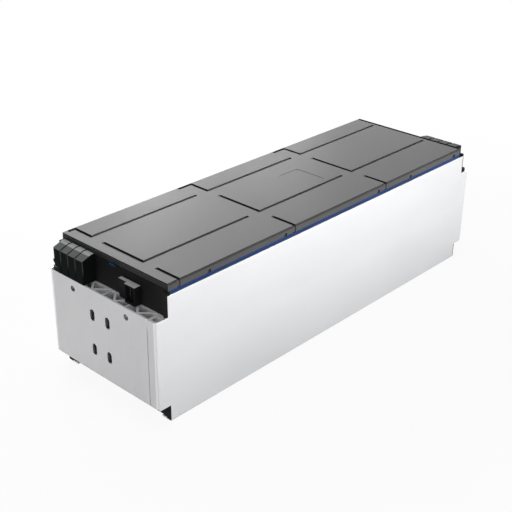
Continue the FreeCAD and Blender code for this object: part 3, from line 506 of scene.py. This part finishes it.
def addWeldBead(values, plateName, end, side):
    plateLow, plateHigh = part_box(plateName)
    faceX = plateLow.x if end < 0 else plateHigh.x
    seamY = plateLow.y if side < 0 else plateHigh.y
    centreX = faceX - end * values["setback"] * mm
    centreY = seamY - side * values["inset"] * mm
    low = plateLow.z + values["endGap"] * mm
    high = plateHigh.z - values["endGap"] * mm
    around, perRipple = values["around"], values["perRipple"]
    step = values["pitch"] * mm / perRipple
    rings = int((high - low) / step)
    vertices = []
    for ring in range(rings + 1):
        phase = (ring % perRipple) / perRipple
        height = math.sqrt(1.0 - phase * values["fall"]) - values["middle"]
        radius = values["radius"] + values["swell"] * height
        if ring in (0, rings):
            radius *= values["endShare"]
        for corner in range(around):
            angle = 2.0 * math.pi * corner / around
            sag = values["sag"] * step * math.cos(angle) * end
            vertices.append((centreX + radius * mm * math.cos(angle), centreY + radius * mm * math.sin(angle),
                             low + ring * step + sag))
    faces = [tuple(range(around))[::-1], tuple(rings * around + corner for corner in range(around))]
    for ring in range(rings):
        for corner in range(around):
            first, second = ring * around + corner, ring * around + (corner + 1) % around
            faces.append((first, second, second + around, first + around))
    name = "weld_bead_%s_%s" % ("front" if end < 0 else "rear", "right" if side < 0 else "left")
    bead = addPiece(name, vertices, faces, weldMetal)
    for face in bead.data.polygons:
        face.use_smooth = True


for plateName, end in (("end_plate_front", -1), ("end_plate_rear", 1)):
    for side in (-1, 1):
        addWeldBead(weldBead, plateName, end, side)
print("weld beads laid")


# a tab of the blue film that shows on the front wall under the cover's skirt, in mm
filmTab = {"left": 1.0, "right": -8.6, "low": 149.6, "high": 152.0, "thickness": 0.12, "lift": 0.05,
           "bow": 0.25, "steps": 14}


def addFilmTab(values):
    # one thin strip, bowed a little off the wall in the middle, closed on every side
    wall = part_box("end_insulator_front")[0].x
    thickness = values["thickness"]
    section = ((0.0, values["low"]), (0.0, values["high"]), (thickness, values["high"]),
               (thickness, values["low"]))
    around = len(section)
    vertices = []
    for step in range(values["steps"] + 1):
        share = step / values["steps"]
        y = values["left"] + share * (values["right"] - values["left"])
        lift = values["lift"] + values["bow"] * math.sin(math.pi * share)
        for out, z in section:
            vertices.append((wall - (lift + out) * mm, y * mm, z * mm))
    faces = [tuple(range(around)), tuple(len(vertices) - 1 - corner for corner in range(around))]
    for step in range(values["steps"]):
        for corner in range(around):
            first, second = step * around + corner, step * around + (corner + 1) % around
            faces.append((first, first + around, second + around, second))
    addPiece("film_tab", vertices, faces, shadedFilm)


addFilmTab(filmTab)
print("film tab made")


# camera: fitted to the straight edges of the photographed module
cameraFit = {"azimuth": -47.1865, "elevation": 26.9743, "roll": 0.6262, "distance": 1.1604344,
             "target": (-0.0433506, 0.0, 0.0812219), "focalPixels": 995.967, "framePixels": 512,
             "sensor": 36.0, "nearest": 0.05, "farthest": 50.0}


def addCamera(values):
    azimuth, elevation, roll = (math.radians(values[key]) for key in ("azimuth", "elevation", "roll"))
    back = Vector((math.sin(azimuth) * math.cos(elevation), -math.cos(azimuth) * math.cos(elevation),
                   math.sin(elevation)))
    right = Vector((math.cos(azimuth), math.sin(azimuth), 0.0))
    up = back.cross(right)
    rolledRight = math.cos(roll) * right + math.sin(roll) * up
    rolledUp = math.cos(roll) * up - math.sin(roll) * right
    lens = bpy.data.cameras.new("camera")
    lens.sensor_width = values["sensor"]
    lens.lens = values["focalPixels"] / values["framePixels"] * values["sensor"]
    lens.clip_start = values["nearest"]
    lens.clip_end = values["farthest"]
    camera = addObject("camera", lens)
    turn = Matrix((rolledRight, rolledUp, back)).transposed().to_4x4()
    turn.translation = Vector(values["target"]) + back * values["distance"]
    camera.matrix_world = turn
    bpy.context.scene.camera = camera


addCamera(cameraFit)


# stage: a pale floor under the feet, which the camera and glossy surfaces see as near white
# its shadow is full up to one distance from the middle and gone at another, in m
stageValues = {"floorSize": 12.0, "floorColour": (0.86, 0.86, 0.86), "floorShadowShare": 0.08,
               "mirroredShadowShare": 0.45, "shadowFull": 0.3, "shadowGone": 0.75,
               "worldStrength": 0.02, "whiteStrength": 1.0, "white": (1.0, 1.0, 1.0)}


def seenDirectly(tree):
    # 1 for what the camera sees, straight or in glossy and clear surfaces
    rays = addNode(tree, "ShaderNodeLightPath")
    total = rays.outputs["Is Camera Ray"]
    for kind in ("Is Glossy Ray", "Is Transmission Ray"):
        total = arithmetic(tree, "MAXIMUM", total, rays.outputs[kind])
    return total


def addFloor(values):
    half = values["floorSize"] / 2.0
    mesh = bpy.data.meshes.new("floor")
    mesh.from_pydata([(-half, -half, 0), (half, -half, 0), (half, half, 0), (-half, half, 0)], [],
                     [(0, 1, 2, 3)])
    floor = addObject("floor", mesh)
    floor.location.z = cadLow.z
    material = bpy.data.materials.new("floor")
    tree, output = startTree(material, "ShaderNodeOutputMaterial")
    matt = addNode(tree, "ShaderNodeBsdfDiffuse", {"Color": asColour(values["floorColour"])})
    glow = addNode(tree, "ShaderNodeEmission", {"Color": asColour(values["white"]),
                                                "Strength": values["whiteStrength"]})
    cameraRay = addNode(tree, "ShaderNodeLightPath").outputs["Is Camera Ray"]
    coords = addNode(tree, "ShaderNodeTexCoord").outputs["Object"]
    away = addNode(tree, "ShaderNodeVectorMath", {0: coords}, operation="LENGTH").outputs["Value"]
    seenShare = remap(tree, away, values["shadowFull"], values["shadowGone"], values["floorShadowShare"], 0.0)
    shadowShare = remap(tree, cameraRay, 0.0, 1.0, values["mirroredShadowShare"], seenShare)
    pale = addNode(tree, "ShaderNodeMixShader", {0: shadowShare, 1: glow.outputs[0], 2: matt.outputs[0]})
    whole = addNode(tree, "ShaderNodeMixShader", {0: seenDirectly(tree), 1: matt.outputs[0],
                                                  2: pale.outputs[0]})
    tree.links.new(whole.outputs[0], output.inputs["Surface"])
    mesh.materials.append(material)


def addWorld(values):
    world = bpy.data.worlds.new("studio")
    bpy.context.scene.world = world
    tree, output = startTree(world, "ShaderNodeOutputWorld")
    strength = remap(tree, seenDirectly(tree), 0.0, 1.0, values["worldStrength"], values["whiteStrength"])
    sky = addNode(tree, "ShaderNodeBackground", {"Color": asColour(values["white"]), "Strength": strength})
    tree.links.new(sky.outputs[0], output.inputs["Surface"])


# plain soft lamps, each turned to the middle of the module; places and sizes in m, power in W
softboxes = {
    "top softbox": {"place": (0.0, 0.0, 1.2), "size": (0.8, 0.8), "power": 3.0},
    "back softbox": {"place": (0.8, 0.7, 0.6), "size": (0.8, 0.8), "power": 2.4},
    "left softbox": {"place": (0.15, 0.6, 0.42), "size": (0.4, 0.4), "power": 2.4},
    "back left softbox": {"place": (0.4, 0.5, 0.36), "size": (0.35, 0.35), "power": 1.0},
    "front softbox": {"place": (-1.3, 0.2, 0.6), "size": (0.8, 0.8), "power": 8.8},
    "right softbox": {"place": (0.25, -0.8, 0.12), "size": (0.7, 0.2), "power": 2.7},
    "far right softbox": {"place": (1.0, -0.9, 0.2), "size": (0.9, 0.35), "power": 2.8},
    "corner softbox": {"place": (-1.0, -0.9, 0.18), "size": (0.3, 0.3), "power": 1.5}}


def addSoftbox(name, values):
    light = bpy.data.lights.new(name, "AREA")
    light.shape = "RECTANGLE"
    light.size, light.size_y = values["size"]
    light.energy = values["power"]
    lamp = addObject(name, light)
    lamp.location = values["place"]
    aim = (cadLow + cadHigh) / 2.0 - Vector(values["place"])
    lamp.rotation_mode = "QUATERNION"
    lamp.rotation_quaternion = aim.to_track_quat("-Z", "Y")
    lamp.visible_camera = False


addFloor(stageValues)
addWorld(stageValues)
for name, values in softboxes.items():
    addSoftbox(name, values)
bpy.context.scene.view_settings.view_transform = "Standard"
print("stage, lights and camera set")
